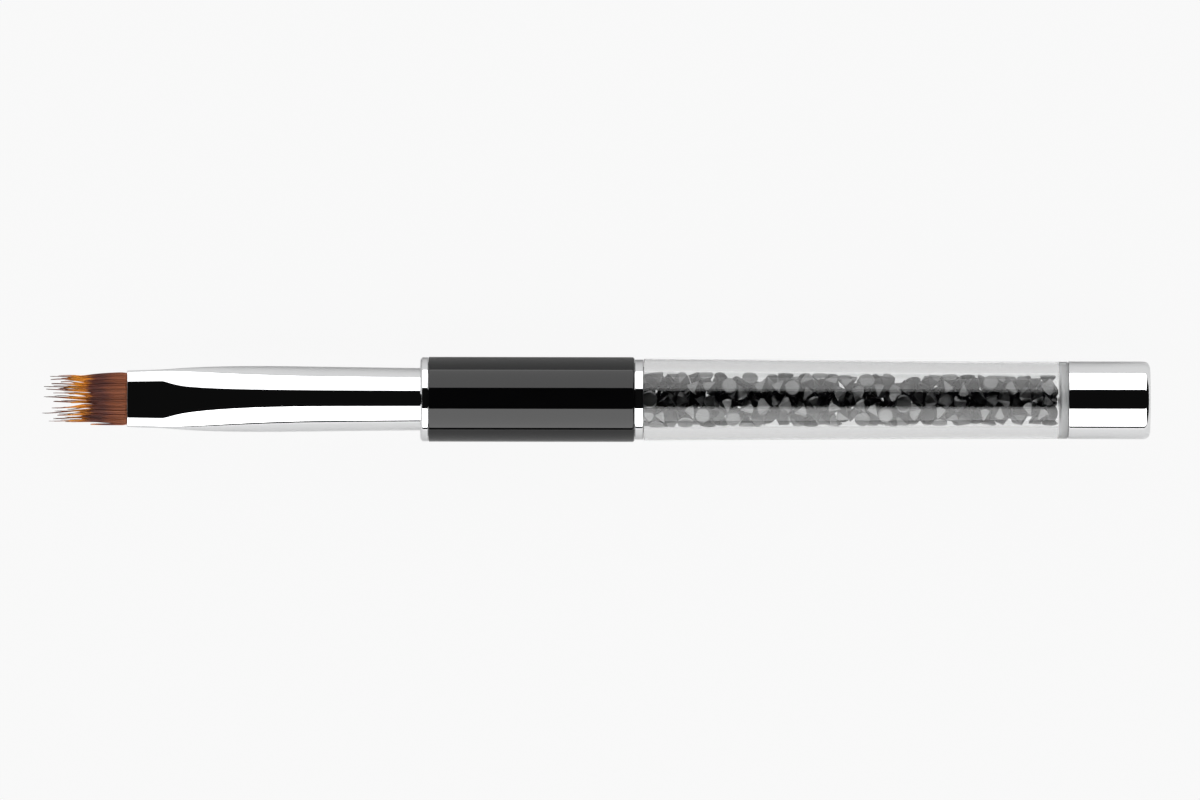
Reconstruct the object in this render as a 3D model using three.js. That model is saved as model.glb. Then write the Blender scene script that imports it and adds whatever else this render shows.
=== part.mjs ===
// Crystal-handled nail brush: a flat comb-tipped bristle head in a crimped ferrule, a gloss black grip
// and a clear acrylic tube filled with loose cut crystals. It lies on its side along X, with the bristle
// tips towards -X and the end cap towards +X, and it rests on Z = 0. Millimetres, +Z up.
import * as THREE from 'three';

// Stations along the brush, from its middle.
const OVERALL_LENGTH = 138.5;
const CAP_END = OVERALL_LENGTH / 2;
const TIP_END = -OVERALL_LENGTH / 2;
const FERRULE_MOUTH = -58.6;
const CRIMP_END = -53.9;
const SQUARE_END = -52.2;
const FERRULE_ROUND = -32;
const FERRULE_WIDEST = -40;
const FRONT_RING_FACE = -21.9;
const BARREL_FRONT = -20.9;
const BARREL_REAR = 4.85;
const TUBE_SHOULDER = 6;
const TUBE_TAPER_END = 48;
const STOPPER_FACE = 57.8;
const CAP_FRONT = 58.95;

// Radii, and the ferrule's half-sizes: across is along Y, thick is along Z.
const BARREL_RADIUS = 5.3;
const FRONT_RING_RADIUS = 5.25;
const REAR_RING_RADIUS = 5;
const TUBE_FRONT_RADIUS = 5.1;
const TUBE_REAR_RADIUS = 4.81;
const BORE_FRONT_RADIUS = 3.55;
const BORE_REAR_RADIUS = 3.25;
const CAP_RADIUS = 4.85;
const MOUTH_ACROSS = 3.52;
const MOUTH_THICK = 1.15;
const CRIMP_ACROSS = 3.68;
const CRIMP_THICK = 1.24;
const FERRULE_RADIUS = 4.12;
const FERRULE_REAR_RADIUS = 3.89;
const CRIMP_SQUARENESS = 2.2;
const SWELL_POWER = 2.35;

// Walls, fits and hidden lengths.
const FERRULE_WALL = 0.35;
const BARREL_WALL = 0.65;
const CAP_WALL = 0.4;
const CAP_END_WALL = 0.7;
const FIT = 0.05;
const EDGE = 0.3;
const SPIGOT_RADIUS = 4.1;
const SOCKET_LENGTH = 4;
const TUBE_FRONT_END = -1;
const TENON_FRONT = -32;
const ROOT_REAR = -47;
const GLUE_REAR = -40;
const CORE_COLUMN_RADIUS = 1.3;

// Bristle head: tufts side by side, listed from +Y, each with how far its tip falls short of the longest
// and how far the tip leans along Y.
const TUFTS = [
  [1, -0.24],
  [1.1, -0.06],
  [1.2, -0.14],
  [0.25, -0.03],
  [0.5, 0.12],
  [1.4, 0.21],
  [0.25, 0.2],
  [1.45, 0.14],
  [1.2, -0.14],
  [0, -0.21],
  [1.9, -0.1],
  [1.4, 0.05],
  [0.9, 0.21],
];
const HEAD_ACROSS = 6.5;
const TUFT_THICK = 0.75;
const TUFT_TIP_THICK = 0.12;
const TUFT_TIP_SCALE = 0.35;
const TUFT_GAP = 0.06;
const HEEL_GAP = 0.1;
const HINGE = FERRULE_MOUTH - HEEL_GAP - TUFT_THICK;

// Crystals: round chatons with a wide table over a cone. No point is further out than CRYSTAL_REACH.
const CRYSTAL_COUNT = 34;
const CRYSTAL_RADIUS = 1;
const CRYSTAL_REACH = 1.03;
const CRYSTAL_SIDES = 16;
const TABLE_RADIUS = 0.84;
const TABLE_HEIGHT = 0.34;
const GIRDLE_TOP = 0.2;
const GIRDLE_BOTTOM = 0.1;
const CULET_DEPTH = 1;
const GOLDEN_ANGLE = Math.PI * (3 - Math.sqrt(5));

// Every round piece has the same number of sides, turned so that a flat side faces the table.
const SIDES = 32;
const PRESS_STEPS = 12;
const AXIS_HEIGHT = BARREL_RADIUS * Math.cos(Math.PI / SIDES);

const finishes = {
  chrome: { color: 0xd9dce0, roughness: 0.06, metalness: 1 },
  gloss_black: { color: 0x0b0b0c, roughness: 0.12, metalness: 0.2 },
  clear_acrylic: { color: 0xf2f5f6, roughness: 0.05, metalness: 0, transparent: true, opacity: 0.35 },
  crystal: { color: 0x111113, roughness: 0.05, metalness: 0.1 },
  filament: { color: 0x8a4f2a, roughness: 0.5, metalness: 0 },
  resin: { color: 0xb98f4a, roughness: 0.3, metalness: 0 },
  core: { color: 0xa8abae, roughness: 0.4, metalness: 0.9 },
};

const brush = new THREE.Group();
brush.position.z = AXIS_HEIGHT;

function add(name, finish, geometry, parent = brush) {
  const mesh = new THREE.Mesh(geometry, new THREE.MeshStandardMaterial(finishes[finish]));
  mesh.name = name;
  parent.add(mesh);
  return mesh;
}

// A body of revolution about X from its outline, a list of [station, radius].
function turned(outline) {
  const points = outline.map(([x, radius]) => new THREE.Vector2(radius, x));
  const geometry = new THREE.LatheGeometry(points, SIDES, Math.PI / SIDES);
  geometry.rotateZ(-Math.PI / 2);
  return geometry;
}

// The outline of a hollow piece is its bore from the rear to the front, and then its outside back again.
function sleeve(outside, bore) {
  const inside = [...bore].reverse();
  return turned([...inside, ...outside, inside[0]]);
}

const mix = THREE.MathUtils.lerp;
const share = (x, from, to) => THREE.MathUtils.clamp((x - from) / (to - from), 0, 1);

// The ferrule's section at a station: flat from its mouth to the end of the crimp, and then it swells,
// fast at first, until it is round.
function ferruleSection(x) {
  const crimped = share(x, FERRULE_MOUTH, CRIMP_END);
  const swell = 1 - (1 - share(x, CRIMP_END, FERRULE_WIDEST)) ** 3;
  const round = 1 - (1 - share(x, CRIMP_END, FERRULE_ROUND)) ** SWELL_POWER;
  const shrink = share(x, FERRULE_WIDEST, FRONT_RING_FACE) * (FERRULE_RADIUS - FERRULE_REAR_RADIUS);
  const across = mix(mix(MOUTH_ACROSS, CRIMP_ACROSS, crimped), FERRULE_RADIUS, swell) - shrink;
  return {
    across,
    thick: mix(mix(MOUTH_THICK, CRIMP_THICK, crimped), across, round),
    squareness: mix(CRIMP_SQUARENESS, 2, share(x, CRIMP_END, SQUARE_END)),
  };
}

const superellipse = (cosine, squareness) => Math.sign(cosine) * Math.abs(cosine) ** (2 / squareness);

// Presses a turned piece to the ferrule's section. FERRULE_RADIUS becomes the ferrule's outer skin,
// and a smaller radius lies as far below that skin as it is smaller.
function pressed(geometry) {
  const position = geometry.attributes.position;
  for (let i = 0; i < position.count; i += 1) {
    const radius = Math.hypot(position.getY(i), position.getZ(i));
    if (radius > FIT) {
      const section = ferruleSection(position.getX(i));
      const inset = FERRULE_RADIUS - radius;
      const y = superellipse(position.getY(i) / radius, section.squareness);
      const z = superellipse(position.getZ(i) / radius, section.squareness);
      position.setY(i, (section.across - inset) * y);
      position.setZ(i, (section.thick - inset) * z);
    }
  }
  return geometry;
}

// Stations from one end of a pressed piece to the other, closest together just behind the crimp.
function pressStations(from, to) {
  const marks = [];
  for (let step = 0; step <= PRESS_STEPS; step += 1) {
    marks.push(mix(CRIMP_END, FERRULE_ROUND, (step / PRESS_STEPS) ** 1.6));
  }
  marks.push(FRONT_RING_FACE);
  return [from, ...marks.filter((x) => x > from && x < to), to];
}

function ferrule() {
  const rear = BARREL_FRONT + SOCKET_LENGTH;
  const stations = pressStations(FERRULE_MOUTH, rear);
  const skin = (inset) => stations.map((x) => [x, FERRULE_RADIUS - inset]);
  return pressed(sleeve(skin(0), skin(FERRULE_WALL)));
}

function insideFerrule(front, rear) {
  const radius = FERRULE_RADIUS - FERRULE_WALL - FIT;
  const skin = pressStations(front, rear).map((x) => [x, radius]);
  return pressed(turned([[front, 0], ...skin, [rear, 0]]));
}

function frontRing() {
  const bore = FERRULE_REAR_RADIUS + FIT;
  const neck = BARREL_RADIUS - BARREL_WALL - FIT;
  const flangeRear = BARREL_FRONT - FIT;
  const rear = BARREL_FRONT + SOCKET_LENGTH - FIT;
  const outside = [
    [FRONT_RING_FACE, FRONT_RING_RADIUS - EDGE],
    [FRONT_RING_FACE + EDGE, FRONT_RING_RADIUS],
    [flangeRear, FRONT_RING_RADIUS],
    [flangeRear, neck],
    [rear, neck],
  ];
  return sleeve(outside, [[FRONT_RING_FACE, bore], [rear, bore]]);
}

function gripCore() {
  const tenon = FERRULE_REAR_RADIUS - FERRULE_WALL - FIT;
  const body = BARREL_RADIUS - BARREL_WALL - FIT;
  const shoulder = BARREL_FRONT + SOCKET_LENGTH + FIT;
  const rear = TUBE_FRONT_END - FIT;
  return turned([
    [TENON_FRONT, 0],
    [TENON_FRONT, tenon - EDGE],
    [TENON_FRONT + EDGE, tenon],
    [shoulder, tenon],
    [shoulder, body],
    [rear, body],
    [rear, 0],
  ]);
}

function gripBarrel() {
  const bore = BARREL_RADIUS - BARREL_WALL;
  const outside = [
    [BARREL_FRONT, BARREL_RADIUS - EDGE / 2],
    [BARREL_FRONT + EDGE / 2, BARREL_RADIUS],
    [BARREL_REAR - EDGE, BARREL_RADIUS],
    [BARREL_REAR, BARREL_RADIUS - EDGE],
  ];
  return sleeve(outside, [[BARREL_FRONT, bore], [BARREL_REAR, bore]]);
}

function rearRing() {
  const bore = SPIGOT_RADIUS + FIT;
  const neck = BARREL_RADIUS - BARREL_WALL - FIT;
  const flangeFront = BARREL_REAR + FIT;
  const rear = TUBE_SHOULDER - FIT;
  const outside = [
    [TUBE_FRONT_END, neck],
    [flangeFront, neck],
    [flangeFront, REAR_RING_RADIUS],
    [rear - EDGE / 2, REAR_RING_RADIUS],
    [rear, REAR_RING_RADIUS - EDGE / 2],
  ];
  return sleeve(outside, [[TUBE_FRONT_END, bore], [rear, bore]]);
}

const tubeRear = CAP_END - CAP_END_WALL - FIT;

function acrylicTube() {
  const outside = [
    [TUBE_FRONT_END, SPIGOT_RADIUS],
    [TUBE_SHOULDER, SPIGOT_RADIUS],
    [TUBE_SHOULDER, TUBE_FRONT_RADIUS],
    [TUBE_TAPER_END, TUBE_REAR_RADIUS],
    [CAP_FRONT, TUBE_REAR_RADIUS],
    [CAP_FRONT, CAP_RADIUS - CAP_WALL - FIT],
    [tubeRear, CAP_RADIUS - CAP_WALL - FIT],
  ];
  const bore = [
    [TUBE_FRONT_END, BORE_FRONT_RADIUS],
    [TUBE_SHOULDER, BORE_FRONT_RADIUS],
    [TUBE_TAPER_END, BORE_REAR_RADIUS],
    [tubeRear, BORE_REAR_RADIUS],
  ];
  return sleeve(outside, bore);
}

function rod(from, to, radius) {
  return turned([[from, 0], [from, radius], [to, radius], [to, 0]]);
}

function endCap() {
  const front = CAP_FRONT + FIT;
  const corner = 0.8;
  const bore = CAP_RADIUS - CAP_WALL;
  const floor = CAP_END - CAP_END_WALL;
  const outline = [
    [floor, 0],
    [floor, bore],
    [front, bore],
    [front, CAP_RADIUS - EDGE / 2],
    [front + EDGE / 2, CAP_RADIUS],
  ];
  for (let step = 0; step <= 4; step += 1) {
    const angle = (step / 4) * (Math.PI / 2);
    outline.push([CAP_END - corner + corner * Math.sin(angle), CAP_RADIUS - corner + corner * Math.cos(angle)]);
  }
  outline.push([CAP_END, 0]);
  return turned(outline);
}

// One tuft: a round heel about the bending line, and a thickness that falls to a fine edge at the tip.
function tuft(length, across, lean) {
  const side = new THREE.Shape();
  side.absarc(0, 0, TUFT_THICK, Math.PI / 2, -Math.PI / 2, true);
  side.quadraticCurveTo(-length * 0.6, -TUFT_THICK, -length, -TUFT_TIP_THICK);
  side.lineTo(-length, TUFT_TIP_THICK);
  side.quadraticCurveTo(-length * 0.6, TUFT_THICK, 0, TUFT_THICK);
  const geometry = new THREE.ExtrudeGeometry(side, { depth: across, bevelEnabled: false, curveSegments: 8 });
  geometry.translate(0, 0, -across / 2);
  geometry.rotateX(Math.PI / 2);
  const position = geometry.attributes.position;
  for (let i = 0; i < position.count; i += 1) {
    const reach = share(-position.getX(i), length * 0.2, length) ** 2;
    position.setY(i, position.getY(i) * mix(1, TUFT_TIP_SCALE, reach) + lean * reach);
  }
  return geometry;
}

// A cut crystal about its own Y axis, with its table at the top and its culet at the bottom.
function crystal() {
  const outline = [
    new THREE.Vector2(0, -CULET_DEPTH),
    new THREE.Vector2(CRYSTAL_RADIUS, GIRDLE_BOTTOM),
    new THREE.Vector2(CRYSTAL_RADIUS, GIRDLE_TOP),
    new THREE.Vector2(TABLE_RADIUS, TABLE_HEIGHT),
    new THREE.Vector2(0, TABLE_HEIGHT),
  ];
  return new THREE.LatheGeometry(outline, CRYSTAL_SIDES);
}

const boreRadius = (x) => mix(BORE_FRONT_RADIUS, BORE_REAR_RADIUS, share(x, TUBE_SHOULDER, TUBE_TAPER_END));

add('ferrule', 'chrome', ferrule());
add('bristle_root', 'filament', insideFerrule(FERRULE_MOUTH + FIT, ROOT_REAR));
add('glue_plug', 'resin', insideFerrule(ROOT_REAR + FIT, GLUE_REAR));
add('front_ring', 'chrome', frontRing());
add('grip_core', 'core', gripCore());
add('grip_barrel', 'gloss_black', gripBarrel());
add('rear_ring', 'chrome', rearRing());
add('acrylic_tube', 'clear_acrylic', acrylicTube());
add('front_plug', 'core', rod(TUBE_FRONT_END, TUBE_SHOULDER - 2 * EDGE, BORE_FRONT_RADIUS - FIT));
add('rear_stopper', 'clear_acrylic', rod(STOPPER_FACE, tubeRear, BORE_REAR_RADIUS - FIT));
add('end_cap', 'chrome', endCap());

// The crystals along the tube's axis are one column, and those against its wall climb it in a helix.
const fillFront = TUBE_SHOULDER - EDGE;
const fillRear = STOPPER_FACE - EDGE;
add('crystal_column', 'crystal', rod(fillFront, fillRear, CORE_COLUMN_RADIUS));
const turns = (number) => ((Math.sin(number * 12.9898) * 43758.5453) % 1) * Math.PI;

// A crystal faces the wall with its table, or lies on one facet of its cone. Each way has the crystal's
// tilt, how far its middle is from the face that lies on the wall, and how wide that face is at most.
const facetTilt = Math.atan2(CRYSTAL_RADIUS * Math.cos(Math.PI / CRYSTAL_SIDES), CULET_DEPTH + GIRDLE_BOTTOM);
const tableOut = { tilt: Math.PI / 2, depth: TABLE_HEIGHT, reach: TABLE_RADIUS };
const facetOut = { tilt: -facetTilt, depth: CULET_DEPTH * Math.sin(facetTilt), reach: CRYSTAL_RADIUS };
for (let i = 0; i < CRYSTAL_COUNT; i += 1) {
  const { tilt, depth, reach } = i % 3 === 0 ? tableOut : facetOut;
  const x = mix(fillFront + CRYSTAL_REACH, fillRear - CRYSTAL_REACH, i / (CRYSTAL_COUNT - 1));
  const wall = boreRadius(x) * Math.cos(Math.PI / SIDES);
  const seat = new THREE.Group();
  seat.rotation.x = i * GOLDEN_ANGLE;
  brush.add(seat);
  const stone = add(`crystal_${String(i + 1).padStart(2, '0')}`, 'crystal', crystal(), seat);
  stone.position.set(x, 0, Math.sqrt(wall ** 2 - reach ** 2) - FIT - depth);
  stone.rotation.set(tilt, Math.PI / CRYSTAL_SIDES, turns(i + 1), 'ZXY');
}

const pitch = (HEAD_ACROSS + TUFT_GAP) / TUFTS.length;
TUFTS.forEach(([shortfall, lean], i) => {
  const name = `bristle_tuft_${String(i + 1).padStart(2, '0')}`;
  const length = HINGE - TIP_END - shortfall;
  const piece = add(name, 'filament', tuft(length, pitch - TUFT_GAP, lean));
  piece.position.set(HINGE, (HEAD_ACROSS - pitch + TUFT_GAP) / 2 - i * pitch, 0);
});

export default brush;
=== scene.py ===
"""The looks of a crystal-handled nail brush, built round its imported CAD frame.

The brush lies along X on a pale floor, with its bristle tips towards -X and its end cap towards +X.
Every place comes from the CAD nodes, and every size here is in metres unless its name says otherwise.
"""
import math

import bpy
import numpy as np
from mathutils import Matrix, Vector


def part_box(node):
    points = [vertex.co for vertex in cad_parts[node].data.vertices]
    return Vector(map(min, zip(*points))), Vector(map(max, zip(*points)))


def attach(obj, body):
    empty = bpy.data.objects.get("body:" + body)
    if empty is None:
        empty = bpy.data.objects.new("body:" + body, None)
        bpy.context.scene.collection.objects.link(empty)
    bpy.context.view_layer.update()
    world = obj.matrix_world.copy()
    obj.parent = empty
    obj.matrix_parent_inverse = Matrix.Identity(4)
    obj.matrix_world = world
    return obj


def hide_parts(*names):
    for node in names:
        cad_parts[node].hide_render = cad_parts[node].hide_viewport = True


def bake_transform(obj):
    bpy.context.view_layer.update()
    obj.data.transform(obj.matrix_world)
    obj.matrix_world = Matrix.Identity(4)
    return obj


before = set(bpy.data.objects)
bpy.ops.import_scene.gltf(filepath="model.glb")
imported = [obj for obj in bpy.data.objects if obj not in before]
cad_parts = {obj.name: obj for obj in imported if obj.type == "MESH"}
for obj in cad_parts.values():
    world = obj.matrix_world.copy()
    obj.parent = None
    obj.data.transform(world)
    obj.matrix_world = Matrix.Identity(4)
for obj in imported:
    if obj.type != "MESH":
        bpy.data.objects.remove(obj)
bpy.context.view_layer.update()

MM = 0.001
CAD_SIDES = 32                                   # the frame's round pieces are prisms with this many sides
FLAT_SHARE = math.cos(math.pi / CAD_SIDES)       # a flat side's distance from the axis, over the radius
ROUND_SIDES = 192
SHARP_CORNER = math.cos(math.radians(150))       # the cosine of the widest angle that counts as a corner
random = np.random.default_rng(7)


# ---------------------------------------------------------------- places read from the frame

def span(node):
    """The first and last station of a CAD node."""
    low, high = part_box(node)
    return low.x, high.x


def radius(node):
    """The true radius of a CAD node's widest round part."""
    low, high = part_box(node)
    return (high.y - low.y) / 2 / FLAT_SHARE


def cad_points(node):
    """The vertices of a CAD node as an array."""
    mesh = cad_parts[node].data
    points = np.empty(len(mesh.vertices) * 3, np.float32)
    mesh.vertices.foreach_get("co", points)
    return points.reshape(-1, 3).astype(float)


def radius_at(node, x, outermost=True):
    """A round CAD node's outer or bore radius at one of its stations."""
    points = cad_points(node)
    ring = points[np.abs(points[:, 0] - x) < 0.01 * MM]
    distance = np.hypot(ring[:, 1], ring[:, 2] - AXIS_Z)
    return distance.max() if outermost else distance.min()


low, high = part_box("grip_barrel")
AXIS_Z = (low.z + high.z) / 2
BARREL_RADIUS = radius("grip_barrel")
FLOOR_Z = AXIS_Z - BARREL_RADIUS


# ---------------------------------------------------------------- mesh building

def make_piece(name, points, faces, material, smooth=True):
    """A mesh object from its points and faces."""
    mesh = bpy.data.meshes.new(name)
    mesh.from_pydata([tuple(p) for p in points], [], faces)
    mesh.polygons.foreach_set("use_smooth", [smooth] * len(mesh.polygons))
    mesh.materials.append(material)
    mesh.update()
    piece = bpy.data.objects.new(name, mesh)
    bpy.context.collection.objects.link(piece)
    return piece


def finish_piece(piece, body, slot, *nodes):
    """Says which body a piece rides on, and the CAD nodes that it stands for. The finish, slot, is not used.
    """
    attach(piece, body)
    if nodes:
        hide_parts(*nodes)


def rounded(outline, steps=10, hold=0.03 * MM):
    """An outline of (x, radius, corner) points with each corner turned into an arc of that radius.

    Beside each arc or sharp corner lies one more point, so that the faces there keep their own shading."""
    result = []
    count = len(outline)
    for i, (x, r, corner) in enumerate(outline):
        here = np.array([x, r])
        before = np.array(outline[i - 1][:2]) - here
        after = np.array(outline[(i + 1) % count][:2]) - here
        before = before / np.linalg.norm(before)
        after = after / np.linalg.norm(after)
        if corner == 0:
            sharp = r > 0 and before @ after > SHARP_CORNER
            result.extend([here + before * hold, here, here + after * hold] if sharp else [here])
            continue
        half = math.acos(float(np.clip(before @ after, -1, 1))) / 2
        reach = corner / math.tan(half)
        bisector = (before + after) / np.linalg.norm(before + after)
        centre = here + bisector * corner / math.sin(half)
        start = here + before * reach - centre
        end = here + after * reach - centre
        result.append(tuple(here + before * (reach + hold)))
        turn = math.pi - 2 * half
        for step in range(steps + 1):
            t = step / steps
            p = (math.sin((1 - t) * turn) * start + math.sin(t * turn) * end) / math.sin(turn)
            result.append(tuple(centre + p))
        result.append(tuple(here + after * (reach + hold)))
    return result


def revolve(name, outline, material, shape=None):
    """A body of revolution about the brush's axis. The outline runs from axis to axis, or is a closed ring.

    shape, if given, turns (x, radius, angle) arrays into (y, z) for a section that isn't round."""
    points, rings = [], []
    angles = np.arange(ROUND_SIDES) * 2 * math.pi / ROUND_SIDES
    for x, r in outline:
        first = len(points)
        if r < 1e-7:
            points.append((x, 0, AXIS_Z))
            rings.append([first] * ROUND_SIDES)
            continue
        if shape is None:
            y, z = r * np.sin(angles), r * np.cos(angles)
        else:
            y, z = shape(x, r, angles)
        points.extend(zip([x] * ROUND_SIDES, y, AXIS_Z + z))
        rings.append(list(range(first, first + ROUND_SIDES)))
    if outline[0][1] > 1e-7:
        rings.append(rings[0])
    faces = []
    for a, b in zip(rings, rings[1:]):
        for i in range(ROUND_SIDES):
            j = (i + 1) % ROUND_SIDES
            corners = [a[i], b[i], b[j], a[j]]
            face = [c for n, c in enumerate(corners) if c != corners[n - 1]]
            faces.append(face)
    return make_piece(name, points, faces, material)


# ---------------------------------------------------------------- materials

def new_material(name):
    """A material with its Principled node, and a function that adds and sets up nodes."""
    material = bpy.data.materials.new(name)
    material.use_nodes = True
    tree = material.node_tree
    shader = tree.nodes["Principled BSDF"]

    def add(kind, inputs=None, **settings):
        node = tree.nodes.new(kind)
        for key, value in settings.items():
            setattr(node, key, value)
        for key, value in (inputs or {}).items():
            if isinstance(value, bpy.types.NodeSocket):
                tree.links.new(value, node.inputs[key])
            else:
                node.inputs[key].default_value = value
        return node

    return material, tree, shader, add


def stretched_noise(add, stretch, scale, detail=3.0):
    """Noise in the piece's own coordinates, pulled out along the brush's axis."""
    place = add("ShaderNodeTexCoord")
    mapping = add("ShaderNodeMapping", {"Vector": place.outputs["Object"], "Scale": (1 / stretch, 1, 1)})
    return add("ShaderNodeTexNoise", {"Vector": mapping.outputs["Vector"], "Scale": scale, "Detail": detail})


def ranged(add, value, low, high):
    """A value from 0 to 1 carried to a range."""
    node = add("ShaderNodeMapRange", {"Value": value, "To Min": low, "To Max": high})
    return node.outputs["Result"]


def metal_material(name, colour, rough, fine):
    """Polished plating: drawing lines along the axis, and faint clouds of handling haze."""
    material, tree, shader, add = new_material(name)
    shader.inputs["Metallic"].default_value = 1.0
    lines = stretched_noise(add, 60, 9000)
    haze = stretched_noise(add, 3, 350)
    tint = add("ShaderNodeMix", {"Factor": haze.outputs["Fac"]}, data_type="RGBA")
    tint.inputs["A"].default_value = (*colour, 1)
    tint.inputs["B"].default_value = (*[c * 0.96 for c in colour], 1)
    tree.links.new(tint.outputs["Result"], shader.inputs["Base Color"])
    both = add("ShaderNodeMath", {0: lines.outputs["Fac"], 1: haze.outputs["Fac"]}, operation="MULTIPLY")
    tree.links.new(ranged(add, both.outputs["Value"], rough, rough + fine), shader.inputs["Roughness"])
    bump = add("ShaderNodeBump", {"Height": lines.outputs["Fac"], "Strength": 0.05, "Distance": 0.002 * MM})
    tree.links.new(bump.outputs["Normal"], shader.inputs["Normal"])
    return material


def lacquer_material():
    """Gloss black lacquer: deep black, a faint orange peel, and a few dust specks under the surface."""
    material, tree, shader, add = new_material("gloss_black")
    clouds = stretched_noise(add, 2, 500)
    tint = add("ShaderNodeMix", {"Factor": clouds.outputs["Fac"]}, data_type="RGBA")
    tint.inputs["A"].default_value = (0.0012, 0.0012, 0.0013, 1)
    tint.inputs["B"].default_value = (0.0022, 0.0022, 0.0024, 1)
    tree.links.new(tint.outputs["Result"], shader.inputs["Base Color"])
    tree.links.new(ranged(add, clouds.outputs["Fac"], 0.015, 0.04), shader.inputs["Roughness"])
    shader.inputs["IOR"].default_value = 1.5
    peel = stretched_noise(add, 1.5, 1400)
    bump = add("ShaderNodeBump", {"Height": peel.outputs["Fac"], "Strength": 0.04, "Distance": 0.01 * MM})
    tree.links.new(bump.outputs["Normal"], shader.inputs["Normal"])
    return material


GLUE_EDGE = 0.06 * MM                            # half the length over which the clear wall turns cloudy
GLUE_HAZE = 0.4                                  # the roughness where it is cloudy


def acrylic_material(name, tint, cloudy_from=None):
    """Cast clear acrylic with the faintest draw lines, cloudy with glue behind a station if one is given."""
    material, tree, shader, add = new_material(name)
    shader.inputs["Base Color"].default_value = (*tint, 1)
    shader.inputs["Roughness"].default_value = 0.0
    shader.inputs["IOR"].default_value = 1.49
    shader.inputs["Transmission Weight"].default_value = 1.0
    lines = stretched_noise(add, 40, 2500)
    bump = add("ShaderNodeBump", {"Height": lines.outputs["Fac"], "Strength": 0.01, "Distance": 0.001 * MM})
    tree.links.new(bump.outputs["Normal"], shader.inputs["Normal"])
    if cloudy_from is not None:
        place = add("ShaderNodeTexCoord")
        station = add("ShaderNodeSeparateXYZ", {"Vector": place.outputs["Object"]})
        cloud = add("ShaderNodeMapRange", {
            "Value": station.outputs["X"],
            "From Min": cloudy_from - GLUE_EDGE,
            "From Max": cloudy_from + GLUE_EDGE,
            "To Min": 0.0,
            "To Max": GLUE_HAZE,
        })
        tree.links.new(cloud.outputs["Result"], shader.inputs["Roughness"])
    return material


def crystal_material(name, shine):
    """Jet-black cut glass. A stone with a higher "stone" value is a little paler and more satiny."""
    material, tree, shader, add = new_material(name)
    stone = add("ShaderNodeAttribute", attribute_name="stone").outputs["Fac"]
    scuffs = add("ShaderNodeTexNoise", {"Scale": 2500, "Detail": 4})
    both = add("ShaderNodeMath", {0: stone, 1: 0.7, 2: scuffs.outputs["Fac"]}, operation="MULTIPLY_ADD")
    tint = add("ShaderNodeMix", {"Factor": both.outputs["Value"]}, data_type="RGBA")
    tint.inputs["A"].default_value = (0.0008, 0.0008, 0.0009, 1)
    tint.inputs["B"].default_value = (0.004, 0.004, 0.0045, 1)
    tree.links.new(tint.outputs["Result"], shader.inputs["Base Color"])
    tree.links.new(ranged(add, both.outputs["Value"], 0.276, 0.33), shader.inputs["Roughness"])
    shader.inputs["Specular IOR Level"].default_value = shine
    shader.inputs["IOR"].default_value = 1.8
    return material


def filament_material():
    """Dyed synthetic filaments: sienna roots, a dark band, amber where light passes, and dark tips."""
    material, tree, shader, add = new_material("filament")
    along = add("ShaderNodeAttribute", attribute_name="along").outputs["Fac"]
    tone = add("ShaderNodeAttribute", attribute_name="tone").outputs["Fac"]

    def multiply_add(value, factor, addend):
        node = add("ShaderNodeMath", {0: value, 1: factor, 2: addend}, operation="MULTIPLY_ADD")
        return node.outputs["Value"]

    wander = multiply_add(stretched_noise(add, 40, 2500).outputs["Fac"], 0.3, -0.15)
    start = add("ShaderNodeMath", {0: along, 1: wander}, operation="ADD").outputs["Value"]
    shifted = multiply_add(tone, 0.12, multiply_add(start, 1.0, -0.06))
    ramp = add("ShaderNodeValToRGB", {"Fac": shifted})
    stops = [
        (0.0, (0.33, 0.095, 0.032)),
        (0.17, (0.27, 0.075, 0.028)),
        (0.30, (0.115, 0.03, 0.022)),
        (0.43, (0.14, 0.03, 0.014)),
        (0.50, (0.66, 0.22, 0.012)),
        (0.62, (0.78, 0.32, 0.02)),
        (0.74, (0.25, 0.055, 0.01)),
        (1.0, (0.05, 0.014, 0.01)),
    ]
    band = ramp.color_ramp
    while len(band.elements) < len(stops):
        band.elements.new(0.5)
    for element, (place, colour) in zip(band.elements, stops):
        element.position = place
        element.color = (*colour, 1)
    streak = ranged(add, stretched_noise(add, 30, 12000).outputs["Fac"], 0.55, 1.45)
    contrast = multiply_add(along, 1.6, 0.25)
    lightness = multiply_add(multiply_add(tone, 1.0, -0.5), contrast, 1.0)
    value = add("ShaderNodeMath", {0: streak, 1: lightness}, operation="MULTIPLY")
    shade = add("ShaderNodeHueSaturation", {"Color": ramp.outputs["Color"], "Value": value.outputs["Value"]})
    tree.links.new(shade.outputs["Color"], shader.inputs["Base Color"])
    shader.inputs["Roughness"].default_value = 0.4
    shader.inputs["IOR"].default_value = 1.45
    return material


def resin_material():
    """Cured amber epoxy with a few bubbles."""
    material, tree, shader, add = new_material("resin")
    place = add("ShaderNodeTexCoord")
    bubbles = add("ShaderNodeTexVoronoi", {"Vector": place.outputs["Object"], "Scale": 1500})
    tint = add("ShaderNodeMix", {"Factor": bubbles.outputs["Distance"]}, data_type="RGBA")
    tint.inputs["A"].default_value = (0.5, 0.3, 0.1, 1)
    tint.inputs["B"].default_value = (0.3, 0.15, 0.04, 1)
    tree.links.new(tint.outputs["Result"], shader.inputs["Base Color"])
    shader.inputs["Roughness"].default_value = 0.25
    return material


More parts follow.
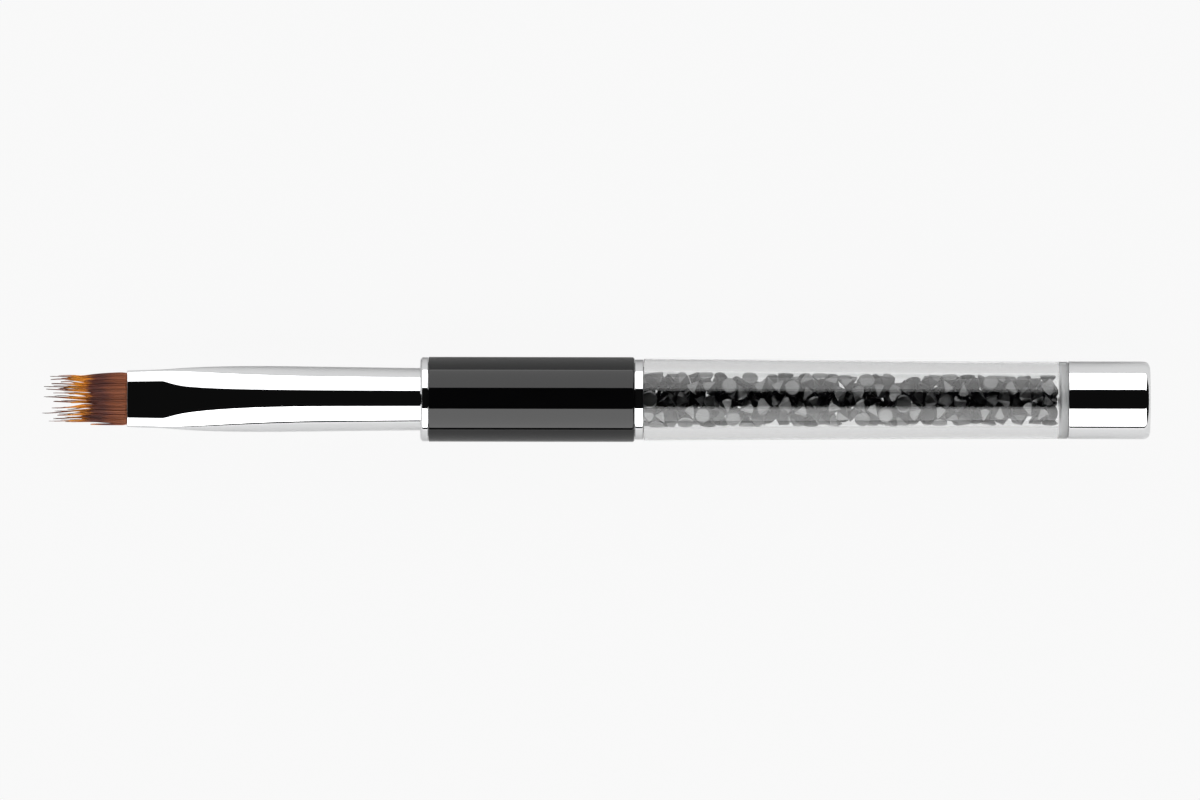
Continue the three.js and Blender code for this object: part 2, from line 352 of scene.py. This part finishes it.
chrome = metal_material("chrome", (0.93, 0.935, 0.94), 0.015, 0.04)
collar_chrome = metal_material("collar_chrome", (0.88, 0.885, 0.89), 0.02, 0.05)
core_metal = metal_material("core_metal", (0.6, 0.61, 0.62), 0.25, 0.2)
lacquer = lacquer_material()
acrylic = acrylic_material("clear_acrylic", (0.985, 0.99, 0.99), cloudy_from=span("rear_stopper")[0])
stopper_acrylic = acrylic_material("stopper_acrylic", (0.93, 0.94, 0.94))
crystal_glass = crystal_material("black_crystal", 0.62)
# painted shade: a copy of the black glass with far less shine, for the stones inside the outer layer, which
# lie in its shade
painted_shade_crystal_glass = crystal_material("painted_shade_crystal", 0.17)
filament = filament_material()
resin = resin_material()


# ---------------------------------------------------------------- ferrule

FERRULE_WALL = 0.35 * MM
CRIMP_ROLL = math.radians(-3.4)                  # the crimp isn't quite square to the handle's flat rest
# How far out, over the half-width, the vertex nearest to the diagonal lies on a round section of the frame.
CORNER_SHARE = math.sin(3.5 * 2 * math.pi / CAD_SIDES) / FLAT_SHARE
SOFT_ACROSS = 0.9 * MM                           # how far the ferrule's outline and section are softened
SOFT_THICK = 0.4 * MM


def ferrule_stations():
    """The CAD ferrule's stations, and its half-width, half-thickness and squareness at each of them."""
    points = cad_points("ferrule")
    marks = np.unique(np.round(points[:, 0], 6))
    across, thick, square = [], [], []
    for mark in marks:
        ring = np.abs(points[np.abs(points[:, 0] - mark) < 0.01 * MM] - [0, 0, AXIS_Z])
        widest, tallest = ring[:, 1].max(), ring[:, 2].max()
        corner = np.minimum(ring[:, 1] / widest, ring[:, 2] / tallest).max()
        across.append(widest / FLAT_SHARE)
        thick.append(tallest / FLAT_SHARE)
        square.append(2 * math.log(CORNER_SHARE) / math.log(corner))
    return marks, np.array(across), np.array(thick), np.array(square)


stations, across_at, thick_at, square_at = ferrule_stations()
FERRULE_RADIUS = across_at.max()


def softened(x, values, reach):
    """A CAD measure along the ferrule, with its corners softened over a short reach."""
    offsets = np.linspace(-reach, reach, 9)
    return float(np.mean(np.interp(x + offsets, stations, values)))


def rolled(y, z):
    """A place in the crimp's own section, turned with the crimp."""
    cosine, sine = math.cos(CRIMP_ROLL), math.sin(CRIMP_ROLL)
    return y * cosine - z * sine, y * sine + z * cosine


def ferrule_section(x, r, angles):
    """The ferrule's section at a station, as far below its skin as r is below the skin's radius."""
    across = softened(x, across_at, SOFT_ACROSS)
    thick = softened(x, thick_at, SOFT_THICK)
    power = 2 / softened(x, square_at, SOFT_THICK)
    inset = FERRULE_RADIUS - r
    y = np.sign(np.sin(angles)) * np.abs(np.sin(angles)) ** power * (across - inset)
    z = np.sign(np.cos(angles)) * np.abs(np.cos(angles)) ** power * (thick - inset)
    return rolled(y, z)


def build_ferrule():
    """The drawn tube: a rolled lip at the mouth, and a skin that goes from flat to round."""
    front, rear = span("ferrule")
    lip = 0.14 * MM
    skin = [(x, FERRULE_RADIUS) for x in np.linspace(front + 2.5 * lip, rear, 170)]
    lining = [(x, FERRULE_RADIUS - FERRULE_WALL) for x in np.linspace(rear, front + lip, 60)]
    arc = []
    for angle in np.linspace(-math.pi / 2, math.pi / 2, 13):
        depth = FERRULE_WALL / 2 * (1 + math.sin(angle))
        arc.append((front + lip * (1 - math.cos(angle)), FERRULE_RADIUS - FERRULE_WALL + depth))
    piece = revolve("ferrule_shell", arc + skin + lining, chrome, ferrule_section)
    finish_piece(piece, "handle", "ferrule_chrome", "ferrule")


# ---------------------------------------------------------------- turned pieces

def build_front_collar():
    """The collar in front of the grip, with a bevelled and rounded front edge."""
    front, rear = span("front_ring")
    seat = span("grip_barrel")[0] - 0.05 * MM
    outer = radius("front_ring")
    bore = radius_at("front_ring", front, outermost=False)
    neck = radius_at("front_ring", rear)
    piece = revolve("front_collar", rounded([
        (rear, bore, 0),
        (front, bore, 0.05 * MM),
        (front, outer - 0.28 * MM, 0.08 * MM),
        (front + 0.24 * MM, outer, 0.14 * MM),
        (seat, outer, 0.06 * MM),
        (seat, neck, 0),
        (rear, neck, 0),
    ]), collar_chrome)
    finish_piece(piece, "handle", "ring_chrome", "front_ring")


def build_barrel():
    """The lacquered grip sleeve. Its rear edge is rounder than its front edge."""
    front, rear = span("grip_barrel")
    bore = radius_at("grip_barrel", front, outermost=False)
    piece = revolve("grip_sleeve", rounded([
        (rear, bore, 0),
        (front, bore, 0),
        (front, BARREL_RADIUS, 0.12 * MM),
        (rear, BARREL_RADIUS, 0.3 * MM),
    ]), lacquer)
    finish_piece(piece, "handle", "gloss_black", "grip_barrel")


def build_rear_collar():
    """The slimmer collar that the clear tube leaves from."""
    front, rear = span("rear_ring")
    seat = span("grip_barrel")[1] + 0.05 * MM
    outer = radius("rear_ring")
    bore = radius_at("rear_ring", rear, outermost=False)
    neck = radius_at("rear_ring", front)
    piece = revolve("rear_collar", rounded([
        (rear, bore, 0),
        (front, bore, 0),
        (front, neck, 0),
        (seat, neck, 0),
        (seat, outer, 0.06 * MM),
        (rear, outer, 0.12 * MM),
    ]), collar_chrome)
    finish_piece(piece, "handle", "ring_chrome", "rear_ring")


def build_tube():
    """The clear tube with its two reduced ends and its tapered air-filled bore."""
    front, rear = span("acrylic_tube")
    marks = np.unique(np.round(cad_points("acrylic_tube")[:, 0], 6))
    shoulder, taper_end, cap_front = marks[1:4]
    outline = [
        (rear, radius_at("acrylic_tube", rear, outermost=False), 0),
        (taper_end, radius_at("acrylic_tube", taper_end, outermost=False), 0),
        (shoulder, radius_at("acrylic_tube", shoulder, outermost=False), 0),
        (front, radius_at("acrylic_tube", front, outermost=False), 0),
        (front, radius_at("acrylic_tube", front), 0),
        (shoulder, radius_at("acrylic_tube", front), 0.03 * MM),
        (shoulder, radius("acrylic_tube"), 0.1 * MM),
        (taper_end, radius_at("acrylic_tube", taper_end), 0),
        (cap_front, radius_at("acrylic_tube", cap_front), 0.06 * MM),
        (cap_front, radius_at("acrylic_tube", rear), 0.03 * MM),
        (rear, radius_at("acrylic_tube", rear), 0),
    ]
    piece = revolve("clear_tube", rounded(outline), acrylic)
    finish_piece(piece, "handle", "clear_acrylic", "acrylic_tube")


def build_stopper():
    """The clear plug behind the crystals, with a shallow domed face."""
    front, rear = span("rear_stopper")
    outer = radius("rear_stopper")
    dome = 0.25 * MM
    face = [(front + dome * (s / 12) ** 2, outer * 0.97 * s / 12, 0) for s in range(13)]
    outline = face + [(front + dome + 0.06 * MM, outer, 0), (rear, outer, 0), (rear, 0, 0)]
    piece = revolve("clear_stopper", rounded(outline), stopper_acrylic)
    finish_piece(piece, "handle", "clear_acrylic", "rear_stopper")


CAP_END_WALL = 0.7 * MM


def build_cap():
    """The end cap: a thin lip at its front and a generous radius at its rear."""
    front, rear = span("end_cap")
    outer = radius("end_cap")
    bore = radius_at("end_cap", front, outermost=False)
    floor = rear - CAP_END_WALL
    piece = revolve("end_cap_shell", rounded([
        (floor, 0, 0),
        (floor, bore, 0),
        (front, bore, 0.04 * MM),
        (front, outer, 0.18 * MM),
        (rear, outer, 0.8 * MM),
        (rear, 0, 0),
    ], steps=16), chrome)
    finish_piece(piece, "handle", "cap_chrome", "end_cap")


# ---------------------------------------------------------------- crystals

# A stone: a round girdle, a low crown and table towards its own +Z, and a pavilion of flat facets below.
FACETS = 5
CHATON_RADIUS = 1.0 * MM
TABLE_RADIUS = 0.84 * MM
TABLE_HEIGHT = 0.36 * MM
GIRDLE_TOP = 0.27 * MM
GIRDLE_BOTTOM = 0.1 * MM
CULET_DEPTH = 1.0 * MM
CHATON_REACH = 1.04 * MM
TABLE_SHARE = 0.27                               # of the stones on the wall, those that lie on their table
UNEVENNESS = math.radians(3)
WALL_COUNT = 152                                 # loose stones in the layer against the wall
FILL_COUNT = WALL_COUNT + 218
PACK_STEPS = 115
FIT_STEPS = 12                                   # the last steps only bring stones back inside the bore
LONGEST_PUSH = 0.2 * MM                          # how far one step moves a pair apart at most
EASE = 0.7                                       # the share of its push that a stone takes in one step
WALL_DRAW = 0.02 * MM                            # how far one step draws a wall stone outwards
BORE_SHARE = 0.995                               # the share of the bore's radius that the stones stay in
GOLDEN_ANGLE = 2.39996
OUTER_PIECES = 8
INNER_PIECES = 4


def chaton(segments):
    """A cut stone's points and faces. Each facet meets the round girdle in that many short segments."""
    sides = FACETS * segments
    half = math.pi / FACETS
    angles = np.arange(sides) * 2 * math.pi / sides
    from_middle = angles % (2 * half) - half
    scallop = (GIRDLE_BOTTOM + CULET_DEPTH) * np.cos(from_middle) / math.cos(half) - CULET_DEPTH
    rings = [
        (CHATON_RADIUS, np.minimum(scallop, GIRDLE_TOP - 0.01 * MM)),
        (CHATON_RADIUS, np.full(sides, GIRDLE_TOP)),
        (TABLE_RADIUS, np.full(sides, TABLE_HEIGHT)),
    ]
    points = [(0, 0, -CULET_DEPTH)]
    for r, heights in rings:
        points.extend(zip(r * np.cos(angles), r * np.sin(angles), heights))
    faces = []
    for facet in range(FACETS):
        edge = [1 + (facet * segments + i) % sides for i in range(segments + 1)]
        faces.append([0] + edge[::-1])
    for i in range(sides):
        j = (i + 1) % sides
        for level in (1, 1 + sides):
            faces.append([level + i, level + j, level + sides + j, level + sides + i])
    faces.append([1 + 2 * sides + i for i in range(sides)])
    return np.array(points), faces


def turns_about(axis, angles):
    """Rotation matrices about a coordinate axis, 0 to 2, one for each angle."""
    one, two = (axis + 1) % 3, (axis + 2) % 3
    result = np.zeros((len(angles), 3, 3))
    result[:, axis, axis] = 1
    result[:, one, one] = result[:, two, two] = np.cos(angles)
    result[:, two, one] = np.sin(angles)
    result[:, one, two] = -np.sin(angles)
    return result


def random_turns(count):
    """Random rotation matrices, even over all directions."""
    q = random.normal(size=(count, 4))
    w, x, y, z = (q / np.linalg.norm(q, axis=1, keepdims=True)).T
    return np.stack([
        np.stack([1 - 2 * (y * y + z * z), 2 * (x * y - z * w), 2 * (x * z + y * w)], -1),
        np.stack([2 * (x * y + z * w), 1 - 2 * (x * x + z * z), 2 * (y * z - x * w)], -1),
        np.stack([2 * (x * z - y * w), 2 * (y * z + x * w), 1 - 2 * (x * x + y * y)], -1),
    ], 1)


def resting_turns(count):
    """Rotations of stones that lie on a wall above them: most on a pavilion facet, some on the table."""
    lean = math.atan2(CHATON_RADIUS * math.cos(math.pi / FACETS), CULET_DEPTH + GIRDLE_BOTTOM)
    tilt = np.where(random.random(count) < TABLE_SHARE, 0.0, math.pi / 2 + lean)
    tilt += random.normal(size=count) * UNEVENNESS
    yaw = turns_about(2, random.random(count) * 2 * math.pi)
    return yaw @ turns_about(1, -tilt) @ turns_about(2, np.full(count, -math.pi / FACETS))


def cad_stone(name):
    """Where a CAD stone's middle is from the brush's axis, and its rotation, with a facet to the wall."""
    points = np.unique(np.round(cad_points(name), 7), axis=0)
    middle = points.mean(0)
    culet = points[np.linalg.norm(points - middle, axis=1).argmax()]
    axis = (middle - culet) / np.linalg.norm(middle - culet)
    centre = culet + axis * CULET_DEPTH - [0, 0, AXIS_Z]
    across = np.array([0, centre[1], centre[2]]) / np.hypot(centre[1], centre[2]) + np.array([0.01, 0, 0])
    across -= axis * (across @ axis)
    across /= np.linalg.norm(across)
    turn = np.stack([across, np.cross(axis, across), axis], 1)
    return centre, turn @ turns_about(2, np.array([-math.pi / FACETS]))[0]


def face_directions(points, faces):
    """The unit normals of a convex shape's faces."""
    normals = []
    for face in faces:
        a, b, c = points[face[0]], points[face[1]], points[face[2]]
        n = np.cross(b - a, c - a)
        normals.append(n / np.linalg.norm(n))
    return np.array(normals)


def push_apart(centres, hulls, normals):
    """How far each loose stone moves to get clear of its neighbours. The loose stones come first.

    Each pair is pushed apart along the direction in which it overlaps least."""
    gaps = centres[None, :] - centres[:FILL_COUNT, None]
    first, second = np.nonzero((gaps ** 2).sum(-1) < (2 * CHATON_REACH) ** 2)
    keep = first < second
    first, second = first[keep], second[keep]
    gap = centres[second] - centres[first]
    length = np.linalg.norm(gap, axis=1, keepdims=True)
    axes = np.concatenate([normals[first], -normals[second], (gap / np.maximum(length, 1e-9))[:, None]], 1)
    reach_first = np.matmul(axes, hulls[first].transpose(0, 2, 1)).max(-1)
    reach_second = -np.matmul(axes, hulls[second].transpose(0, 2, 1)).min(-1)
    overlap = reach_first + reach_second - np.einsum("pad,pd->pa", axes, gap)
    pairs = np.arange(len(first))
    best = overlap.argmin(1)
    depth = np.clip(overlap[pairs, best], 0, LONGEST_PUSH)[:, None]
    push = axes[pairs, best] * depth
    loose = second < FILL_COUNT
    shift = np.zeros((FILL_COUNT, 3))
    np.add.at(shift, first, -push * np.where(loose, 0.5, 1.0)[:, None])
    np.add.at(shift, second[loose], push[loose] * 0.5)
    return shift, depth


def pack_crystals(fixed_centres, fixed_turns, bore, front, rear):
    """Pushes the loose stones apart inside the bore, until they hardly cut each other or the CAD stones.

    The stones of the outer layer are drawn to the wall, and turn with it as they move round. The packing
    uses stones with fewer sides than the finished ones."""
    shape, faces = chaton(2)
    directions = face_directions(shape, faces)
    wall = np.arange(FILL_COUNT) < WALL_COUNT
    homes = np.concatenate([resting_turns(WALL_COUNT), random_turns(FILL_COUNT - WALL_COUNT)])
    centres = np.empty((FILL_COUNT, 3))
    for group in (wall, ~wall):
        centres[group, 0] = np.linspace(front + 0.5 * MM, rear - 0.5 * MM, group.sum())
    spread = np.where(wall, bore(centres[:, 0]) - 0.8 * MM, 1.3 * MM * np.sqrt(random.random(FILL_COUNT)))
    angle = np.arange(FILL_COUNT) * GOLDEN_ANGLE + random.normal(size=FILL_COUNT) * 0.5
    centres[:, 1], centres[:, 2] = -spread * np.sin(angle), spread * np.cos(angle)
    for step in range(PACK_STEPS):
        turns = turns_about(0, np.arctan2(-centres[:, 1], centres[:, 2])) @ homes
        all_turns = np.concatenate([turns, fixed_turns])
        hulls = shape @ all_turns.transpose(0, 2, 1)
        normals = directions @ all_turns.transpose(0, 2, 1)
        shift, depth = push_apart(np.concatenate([centres, fixed_centres]), hulls, normals)
        if step < PACK_STEPS - FIT_STEPS:
            centres += shift * EASE
            out = np.hypot(centres[wall, 1], centres[wall, 2])[:, None]
            centres[wall, 1:] *= 1 + WALL_DRAW / out
        corners = hulls[:FILL_COUNT] + centres[:, None]
        out = np.hypot(corners[..., 1], corners[..., 2])
        beyond = out - bore(corners[..., 0])
        inward = corners[np.arange(FILL_COUNT), beyond.argmax(1)][:, 1:]
        inward = inward / np.linalg.norm(inward, axis=1, keepdims=True)
        centres[:, 1:] -= inward * np.clip(beyond.max(1), 0, None)[:, None]
        centres[:, 0] += np.clip(front - corners[..., 0].min(1), 0, None)
        centres[:, 0] -= np.clip(corners[..., 0].max(1) - rear, 0, None)
    print(f"crystals: {len(depth)} neighbours, mean overlap {float(depth.mean()) / MM:.4f} mm, deepest"
          f" {float(depth.max()) / MM:.3f} mm, beyond the bore {float(beyond.max()) / MM:.3f} mm")
    return centres, turns


def build_crystals():
    """The loose stones: one in the place of each CAD stone, and the rest filling the bore round them."""
    names = sorted(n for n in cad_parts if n.startswith("crystal_") and n != "crystal_column")
    poses = [cad_stone(name) for name in names]
    fixed_centres = np.array([centre for centre, _ in poses])
    fixed_turns = np.array([turn for _, turn in poses])
    tube_front, tube_rear = span("acrylic_tube")
    marks = np.unique(np.round(cad_points("acrylic_tube")[:, 0], 6))
    ends = [radius_at("acrylic_tube", x, outermost=False) for x in (tube_front, tube_rear)]

    def bore(x):
        return np.interp(x, marks[1:3], ends) * BORE_SHARE

    front, rear = span("crystal_column")[0], span("rear_stopper")[0] - 0.05 * MM
    centres, turns = pack_crystals(fixed_centres, fixed_turns, bore, front, rear)
    centres = np.concatenate([centres, fixed_centres])
    turns = np.concatenate([turns, fixed_turns])
    shape, faces = chaton(3)
    shades = random.random(len(centres))
    inner = (np.arange(len(centres)) >= WALL_COUNT) & (np.arange(len(centres)) < FILL_COUNT)
    for label, chosen, pieces, glass in (
        ("crystal_fill", ~inner, OUTER_PIECES, crystal_glass),
        # the stones inside the outer layer get the copy of the glass with less shine: painted shade
        ("crystal_core", inner, INNER_PIECES, painted_shade_crystal_glass),
    ):
        members = np.nonzero(chosen)[0]
        groups = np.array_split(members[np.argsort(centres[members, 0])], pieces)
        for number, group in enumerate(groups, 1):
            points, all_faces = [], []
            for i in group:
                first = len(points)
                points.extend(shape @ turns[i].T + centres[i] + [0, 0, AXIS_Z])
                all_faces.extend([[first + v for v in face] for face in faces])
            piece = make_piece(f"{label}_{number}", points, all_faces, glass, smooth=False)
            attribute = piece.data.attributes.new("stone", "FLOAT", "POINT")
            attribute.data.foreach_set("value", np.repeat(shades[group], len(shape)).astype(np.float32))
            replaced = [names[i - FILL_COUNT] for i in group if i >= FILL_COUNT]
            finish_piece(piece, "handle", "black_crystal", "crystal_column", *replaced)


# ---------------------------------------------------------------- bristles

FILAMENTS_PER_TUFT = 110
FILAMENT_SIDES = 5
FILAMENT_RINGS = 16
ROOT_RADIUS = 0.046 * MM
TIP_RADIUS = 0.011 * MM
TIP_SPREAD = 0.022 * MM
HEAD_THICK = 0.74 * MM
HEAD_EDGE = 3.33 * MM                            # where the head's section comes to its edge
HEAD_POWER = 2.2                                 # the power of that section's superellipse
HEAD_TAPER = 0.15                                # how much the head narrows, over its width
TAPER_LENGTH = 0.58                              # where it has narrowed, as a share of its length
GATHER_START = 0.72                              # where filaments start to draw together, over the parting
REACH_SPREAD = 0.34                              # how far a filament falls short of its strand at most
MOUTH_SQUEEZE = 0.97                             # the head's width in the ferrule, over that just outside
SWELL_LENGTH = 0.5 * MM
ROOT_DEPTH = 0.3 * MM                            # how far inside the ferrule the filaments start
STRAY_WIDTH = 0.17 * MM                          # the short bright filaments along the head's -Y edge
STRAY_REACH = 0.43
# For each tuft from +Y, how far from the mouth it parts from the next one, as a share of the head's length.
PARTING = [0.72, 0.66, 0.70, 0.66, 0.48, 0.60, 0.66, 0.42, 0.70, 0.50, 0.58, 0.55, 0.45]
# The strands that a tuft ends in: how far each is to the side, in mm, and its share of the tuft's length.
# The first one gets half of the filaments.
STRANDS = [(0.0, 1.0), (0.12, 0.9), (-0.13, 0.82)]


def tube_faces(first, rings, sides):
    """Faces of a closed tube whose rings of points follow one another."""
    faces = []
    for ring in range(rings - 1):
        a = first + ring * sides
        for i in range(sides):
            j = (i + 1) % sides
            faces.append([a + i, a + sides + i, a + sides + j, a + j])
    faces.append([first + i for i in range(sides)])
    last = first + (rings - 1) * sides
    faces.append([last + i for i in range(sides)][::-1])
    return faces


def build_tuft(number, node, parting, mouth, longest):
    """One tuft: filaments side by side at the root, drawn together into strands where the tuft parts."""
    points = cad_points(node)
    low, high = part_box(node)
    tip_y = points[points[:, 0] < low.x + 0.05 * MM][:, 1].mean()
    heel = points[points[:, 0] > high.x - 0.3 * MM][:, 1]
    heel_low, heel_high = heel.min() - 0.03 * MM, heel.max() + 0.03 * MM
    root_x = mouth + ROOT_DEPTH
    gather = GATHER_START * parting * longest
    strands = []
    for side, length in STRANDS:
        strand = {
            "y": tip_y + side * MM * (0.6 + 0.8 * random.random()),
            "z": random.normal() * 0.12 * MM,
            "reach": (mouth - low.x) * length,
            "shortfall": 0.06 * random.random(),
            "tone": random.random(),
            "wave": random.normal() * 0.05 * MM,
            "phase": random.random() * 2 * math.pi,
        }
        if length < 1:
            strand["reach"] *= 1 - strand["shortfall"]
        strands.append(strand)
    ring_angles = np.arange(FILAMENT_SIDES) * 2 * math.pi / FILAMENT_SIDES
    co, faces, along, tone = [], [], [], []
    for _ in range(FILAMENTS_PER_TUFT):
        y0 = heel_low + (heel_high - heel_low) * random.random()
        z0 = HEAD_THICK * (2 * random.random() - 1)
        z0 = z0 * (1 - (abs(y0) / HEAD_EDGE) ** HEAD_POWER) ** (1 / HEAD_POWER)
        strand = strands[int(random.random() * 4) % 3]
        reach = strand["reach"] * (1 - REACH_SPREAD * random.random() ** 1.5)
        shade = 0.55 * strand["tone"] + 0.45 * random.random()
        y1 = strand["y"] + random.normal() * TIP_SPREAD
        z1 = strand["z"] + random.normal() * 2 * TIP_SPREAD
        wave = random.normal() * 0.03 * MM
        stray = number == len(PARTING) and y0 < heel_low + STRAY_WIDTH
        if stray:
            reach = STRAY_REACH * longest * (0.8 + 0.2 * random.random())
            y1, shade = y0, 0.9
        first = len(co)
        for ring in range(FILAMENT_RINGS):
            s = ring / (FILAMENT_RINGS - 1)
            x = root_x + (mouth - reach - root_x) * s
            out = max(mouth - x, 0)
            narrow = MOUTH_SQUEEZE + (1 - MOUTH_SQUEEZE) * min(out / SWELL_LENGTH, 1)
            if not stray:
                narrow *= 1 - HEAD_TAPER * min(out / (TAPER_LENGTH * longest), 1) ** 2
            pull = min(max((out - gather) / (0.9 * strand["reach"] - gather), 0), 1)
            pull = pull * (1.7 - 0.7 * pull)
            ripple = strand["wave"] * math.sin(8 * out / longest + strand["phase"]) * pull
            y = y0 * narrow + (y1 - y0 * narrow) * pull + wave * math.sin(math.pi * s) * s + ripple
            z = z0 * (1 - 0.3 * out / longest) + (z1 - z0 * 0.7) * pull
            r = ROOT_RADIUS + (TIP_RADIUS - ROOT_RADIUS) * s ** 1.5
            y, z = rolled(y, z)
            for angle in ring_angles:
                co.append((x, y + r * math.cos(angle), AXIS_Z + z + r * math.sin(angle)))
            along.extend([0.5 * out / reach if stray else out / longest] * FILAMENT_SIDES)
            tone.extend([shade] * FILAMENT_SIDES)
        faces.extend(tube_faces(first, FILAMENT_RINGS, FILAMENT_SIDES))
    piece = make_piece(f"tuft_{number:02d}", co, faces, filament)
    for name, values in (("along", along), ("tone", tone)):
        attribute = piece.data.attributes.new(name, "FLOAT", "POINT")
        attribute.data.foreach_set("value", np.array(values, np.float32))
    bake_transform(piece)
    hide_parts(node)


def build_bristles():
    """The bristle head, tuft by tuft."""
    names = sorted(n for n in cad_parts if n.startswith("bristle_tuft_"))
    mouth = span("ferrule")[0]
    longest = mouth - min(span(n)[0] for n in names)
    for number, (node, parting) in enumerate(zip(names, PARTING), 1):
        build_tuft(number, node, parting, mouth, longest)


def finish_hidden():
    """The pieces inside keep their CAD shape and get their own materials."""
    for node, material in (
        ("bristle_root", filament),
        ("glue_plug", resin),
        ("grip_core", core_metal),
        ("front_plug", core_metal),
    ):
        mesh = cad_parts[node].data
        mesh.materials.clear()
        mesh.materials.append(material)


# ---------------------------------------------------------------- studio

SOFTBOX_LENGTH = 0.92
SOFTBOX_DISTANCE = 0.6


def area_light(name, low_angle, high_angle, side, radiance):
    """A long softbox beside the brush, seen from it between two angles from the vertical."""
    ends = [
        np.array([side * math.sin(math.radians(a)), math.cos(math.radians(a))]) * SOFTBOX_DISTANCE
        for a in (low_angle, high_angle)
    ]
    middle = (ends[0] + ends[1]) / 2
    across = float(np.linalg.norm(ends[1] - ends[0]))
    light = bpy.data.lights.new(name, "AREA")
    light.shape = "RECTANGLE"
    light.size = SOFTBOX_LENGTH
    light.size_y = across
    light.energy = radiance * math.pi * light.size * light.size_y
    box = bpy.data.objects.new(name, light)
    box.location = (0, middle[0], AXIS_Z + middle[1])
    tilt = math.atan2(middle[0], middle[1])
    box.rotation_euler = (-tilt, 0, 0)
    box.visible_camera = False
    bpy.context.collection.objects.link(box)


def stage_plane(name, corners, material):
    """A flat sheet of the set."""
    plane = make_piece(name, corners, [[0, 1, 2, 3]], material, smooth=False)
    return plane


# The floor is a lit table. How much light it gives and how much it reflects, as each kind of ray meets it:
# straight from the camera, through clear acrylic, or otherwise.
GLOW_SEEN = 0.925
GLOW_THROUGH = 0.57
ALBEDO = 0.77
ALBEDO_SEEN = 0.02
ALBEDO_THROUGH = 0.15
FLOOR_HALF = 20
# The dark cards: one below the front softbox, and one past the brush's rear end.
FRONT_CARD_Y, FRONT_CARD_HALF, FRONT_CARD_TOP = -0.58, 1.2, 0.070
END_CARD_X, END_CARD_HALF, END_CARD_TOP = 0.8, 0.4, 0.3
# The horizon's light, and how high above it, as a share of straight up, it starts and ends to fade.
HORIZON, OVERHEAD = 0.93, 0.004
FADE_START, FADE_END = 0.04, 0.10


def build_studio():
    """A pale floor and horizon, a softbox on each side, a dark gap overhead, and two dark cards."""
    floor_material, tree, shader, add = new_material("floor")
    path = add("ShaderNodeLightPath")
    seen, through = path.outputs["Is Camera Ray"], path.outputs["Is Transmission Ray"]

    def by_ray(base, at_camera, at_glass):
        value = ranged(add, seen, base, at_camera)
        extra = add("ShaderNodeMath", {0: through, 1: at_glass - base, 2: value}, operation="MULTIPLY_ADD")
        return extra.outputs["Value"]

    grey = add("ShaderNodeCombineColor")
    albedo = by_ray(ALBEDO, ALBEDO_SEEN, ALBEDO_THROUGH)
    for channel in ("Red", "Green", "Blue"):
        tree.links.new(albedo, grey.inputs[channel])
    tree.links.new(grey.outputs["Color"], shader.inputs["Base Color"])
    shader.inputs["Roughness"].default_value = 1.0
    shader.inputs["Specular IOR Level"].default_value = 0.0
    shader.inputs["Emission Color"].default_value = (1, 1, 1, 1)
    tree.links.new(by_ray(0.0, GLOW_SEEN, GLOW_THROUGH), shader.inputs["Emission Strength"])
    half = FLOOR_HALF
    z = FLOOR_Z - 0.01 * MM
    corners = [(-half, -half, z), (half, -half, z), (half, half, z), (-half, half, z)]
    stage_plane("floor", corners, floor_material)

    area_light("softbox_back", 31.8, 88, 1, 1.9)
    area_light("softbox_front", 25.7, 84, -1, 2.9)

    card_material, _, shader, _ = new_material("black_card")
    shader.inputs["Base Color"].default_value = (0.003, 0.003, 0.003, 1)
    shader.inputs["Specular IOR Level"].default_value = 0.0
    y, half, top = FRONT_CARD_Y, FRONT_CARD_HALF, FRONT_CARD_TOP
    front_corners = [(-half, y, FLOOR_Z), (half, y, FLOOR_Z), (half, y, top), (-half, y, top)]
    x, half, top = END_CARD_X, END_CARD_HALF, END_CARD_TOP
    end_corners = [(x, -half, FLOOR_Z), (x, half, FLOOR_Z), (x, half, top), (x, -half, top)]
    for name, corners in (("front_card", front_corners), ("end_card", end_corners)):
        card = stage_plane(name, corners, card_material)
        card.visible_camera = False
        card.visible_diffuse = False
        card.visible_shadow = False

    world = bpy.data.worlds.new("studio")
    world.use_nodes = True
    bpy.context.scene.world = world
    tree = world.node_tree
    background = tree.nodes["Background"]
    place = tree.nodes.new("ShaderNodeTexCoord")
    split = tree.nodes.new("ShaderNodeSeparateXYZ")
    tree.links.new(place.outputs["Generated"], split.inputs["Vector"])
    ramp = tree.nodes.new("ShaderNodeMapRange")
    ramp.inputs["From Min"].default_value = FADE_START
    ramp.inputs["From Max"].default_value = FADE_END
    ramp.inputs["To Min"].default_value = HORIZON
    ramp.inputs["To Max"].default_value = OVERHEAD
    tree.links.new(split.outputs["Z"], ramp.inputs["Value"])
    tree.links.new(ramp.outputs["Result"], background.inputs["Strength"])
    background.inputs["Color"].default_value = (1, 1, 1, 1)


# The view: straight down from far away, as wide as the photograph's frame at the brush's height.
FRAME_WIDTH = 150 * MM
VIEW_CENTRE_X = 0.53 * MM
VIEW_CENTRE_Y = -0.06 * MM
VIEW_TURN = 0.0016
LENS_MM = 500
SENSOR_MM = 36


def build_camera():
    """A long lens above the brush."""
    data = bpy.data.cameras.new("camera")
    data.lens = LENS_MM
    data.sensor_width = SENSOR_MM
    data.clip_start = 0.01
    data.clip_end = 20
    camera = bpy.data.objects.new("camera", data)
    camera.location = (VIEW_CENTRE_X, VIEW_CENTRE_Y, AXIS_Z + FRAME_WIDTH * LENS_MM / SENSOR_MM)
    camera.rotation_euler = (0, 0, VIEW_TURN)
    bpy.context.collection.objects.link(camera)
    scene = bpy.context.scene
    scene.camera = camera
    scene.view_settings.view_transform = "Standard"
    scene.cycles.use_denoising = True


build_ferrule()
build_front_collar()
build_barrel()
build_rear_collar()
build_tube()
build_stopper()
build_cap()
build_crystals()
build_bristles()
finish_hidden()
build_studio()
build_camera()
